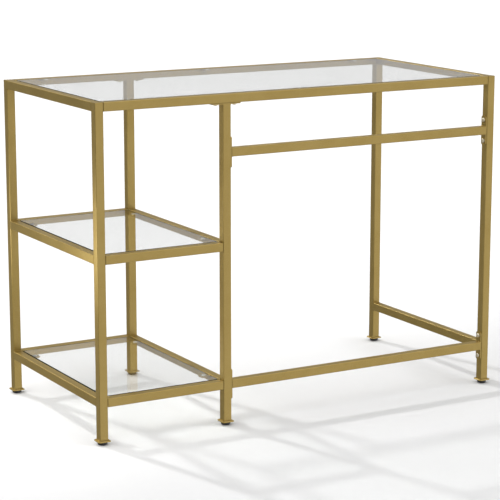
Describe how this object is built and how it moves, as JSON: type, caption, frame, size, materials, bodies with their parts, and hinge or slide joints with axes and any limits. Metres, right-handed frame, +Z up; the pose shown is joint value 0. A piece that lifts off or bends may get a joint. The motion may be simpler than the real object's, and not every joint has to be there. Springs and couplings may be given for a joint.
{
  "type": "writing desk",
  "caption": "Writing desk of square metal tube with an inset clear glass top, a glass shelf tower at one end and an open knee space.",
  "frame": {"origin": "centre of the footprint, on the floor", "axes": "+X along the length, from the shelf tower to the knee space; -Y towards the side with the brace and the stretcher, called the front here; +Y towards the open side, where a seated user's knees can enter; +Z up"},
  "size_m": [1.067, 0.515, 0.762],
  "materials": {
    "gold_frame": "soft-gold satin powder coat over steel tube and plate",
    "plated_bolt": "brass-coloured plated steel, polished",
    "zinc_steel": "bright zinc-plated steel",
    "clear_glass": "clear tempered float glass, polished edges",
    "clear_vinyl": "clear soft vinyl",
    "black_nylon": "black moulded nylon"
  },
  "bodies": {
    "frame": {"back_left_foot_plate": "gold_frame", "back_left_leg": "gold_frame", "back_low_rail": "gold_frame", "back_middle_foot_plate": "gold_frame", "back_middle_leg": "gold_frame", "back_middle_leg_plate": "gold_frame", "back_right_foot_plate": "gold_frame", "back_right_leg": "gold_frame", "back_shelf_rail": "gold_frame", "back_top_rail": "gold_frame", "end_plate_bolts": "plated_bolt", "foot_nuts": "zinc_steel", "front_brace": "gold_frame", "front_brace_left_plate": "gold_frame", "front_brace_right_plate": "gold_frame", "front_left_foot_plate": "gold_frame", "front_left_leg": "gold_frame", "front_low_rail": "gold_frame", "front_middle_foot_plate": "gold_frame", "front_middle_leg": "gold_frame", "front_middle_leg_plate": "gold_frame", "front_right_foot_plate": "gold_frame", "front_right_leg": "gold_frame", "front_shelf_rail": "gold_frame", "front_stretcher": "gold_frame", "front_stretcher_left_plate": "gold_frame", "front_stretcher_right_plate": "gold_frame", "front_top_rail": "gold_frame", "left_low_rail": "gold_frame", "left_shelf_rail": "gold_frame", "left_top_rail": "gold_frame", "middle_leg_bolts": "plated_bolt", "middle_low_rail": "gold_frame", "middle_shelf_rail": "gold_frame", "rail_tongues": "gold_frame", "right_low_rail": "gold_frame", "right_top_rail": "gold_frame", "shelf_glass_bumpers": "clear_vinyl", "shelf_glass_tabs": "gold_frame", "threaded_inserts": "zinc_steel", "tongue_screws": "zinc_steel", "top_glass_bumpers": "clear_vinyl", "top_glass_tabs": "gold_frame"},
    "top_glass": {"top_glass": "clear_glass"},
    "shelf_glass": {"shelf_glass": "clear_glass"},
    "low_shelf_glass": {"low_shelf_glass": "clear_glass"},
    "front_left_glide": {"front_left_glide": "black_nylon", "front_left_glide_stud": "zinc_steel"},
    "front_middle_glide": {"front_middle_glide": "black_nylon", "front_middle_glide_stud": "zinc_steel"},
    "front_right_glide": {"front_right_glide": "black_nylon", "front_right_glide_stud": "zinc_steel"},
    "back_left_glide": {"back_left_glide": "black_nylon", "back_left_glide_stud": "zinc_steel"},
    "back_middle_glide": {"back_middle_glide": "black_nylon", "back_middle_glide_stud": "zinc_steel"},
    "back_right_glide": {"back_right_glide": "black_nylon", "back_right_glide_stud": "zinc_steel"}
  },
  "joints": [
    {"name": "top_glass_lift", "type": "slide", "parent": "frame", "child": "top_glass", "axis": [0, 0, 1], "range_m": [0, 0.05]},
    {"name": "shelf_glass_lift", "type": "slide", "parent": "frame", "child": "shelf_glass", "axis": [0, 0, 1], "range_m": [0, 0.05]},
    {"name": "low_shelf_glass_lift", "type": "slide", "parent": "frame", "child": "low_shelf_glass", "axis": [0, 0, 1], "range_m": [0, 0.05]},
    {"name": "front_left_glide_adjust", "type": "slide", "parent": "frame", "child": "front_left_glide", "axis": [0, 0, -1], "range_m": [0, 0.01]},
    {"name": "front_middle_glide_adjust", "type": "slide", "parent": "frame", "child": "front_middle_glide", "axis": [0, 0, -1], "range_m": [0, 0.01]},
    {"name": "front_right_glide_adjust", "type": "slide", "parent": "frame", "child": "front_right_glide", "axis": [0, 0, -1], "range_m": [0, 0.01]},
    {"name": "back_left_glide_adjust", "type": "slide", "parent": "frame", "child": "back_left_glide", "axis": [0, 0, -1], "range_m": [0, 0.01]},
    {"name": "back_middle_glide_adjust", "type": "slide", "parent": "frame", "child": "back_middle_glide", "axis": [0, 0, -1], "range_m": [0, 0.01]},
    {"name": "back_right_glide_adjust", "type": "slide", "parent": "frame", "child": "back_right_glide", "axis": [0, 0, -1], "range_m": [0, 0.01]}
  ]
}
